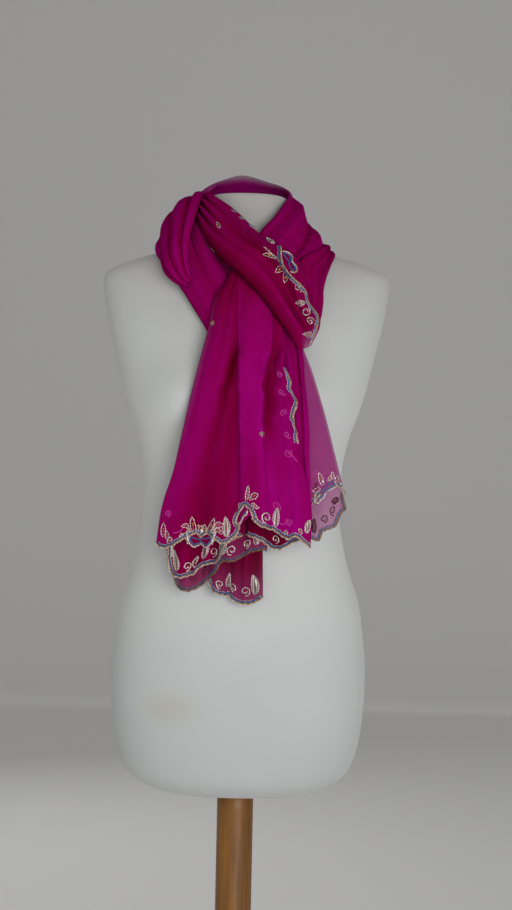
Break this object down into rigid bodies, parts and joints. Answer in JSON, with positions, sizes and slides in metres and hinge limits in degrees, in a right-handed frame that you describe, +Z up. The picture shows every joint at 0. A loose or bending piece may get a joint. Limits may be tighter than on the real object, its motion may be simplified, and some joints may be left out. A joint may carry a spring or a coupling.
{
  "type": "dupatta stole on a dress form",
  "caption": "Sheer embroidered dupatta stole, folded and looped round the neck of a limbless dress form on a wooden stand.",
  "frame": {"origin": "centre of the round base, on the floor", "axes": "+Z up the pole to the neck, -Y the front where the tails hang, +X the viewer's right as seen from the front"},
  "size_m": [0.4, 0.4, 1.5162],
  "materials": {
    "chiffon": "sheer silk chiffon with a soft sheen, gold and blue embroidered edge",
    "form_cover": "tight white jersey over foam, slightly soiled",
    "stand_wood": "satin varnished pine"
  },
  "bodies": {
    "root": {"wrap_back": "chiffon", "roll_left": "chiffon", "strand_left": "chiffon", "band_cross": "chiffon", "drape_right": "chiffon", "roll_right": "chiffon", "tail_front": "chiffon", "tail_second": "chiffon", "tail_third": "chiffon", "tail_long": "chiffon", "tail_tuck": "chiffon", "tail_side": "chiffon", "form_torso": "form_cover", "stand_pole": "stand_wood", "stand_base": "stand_wood"}
  },
  "joints": []
}
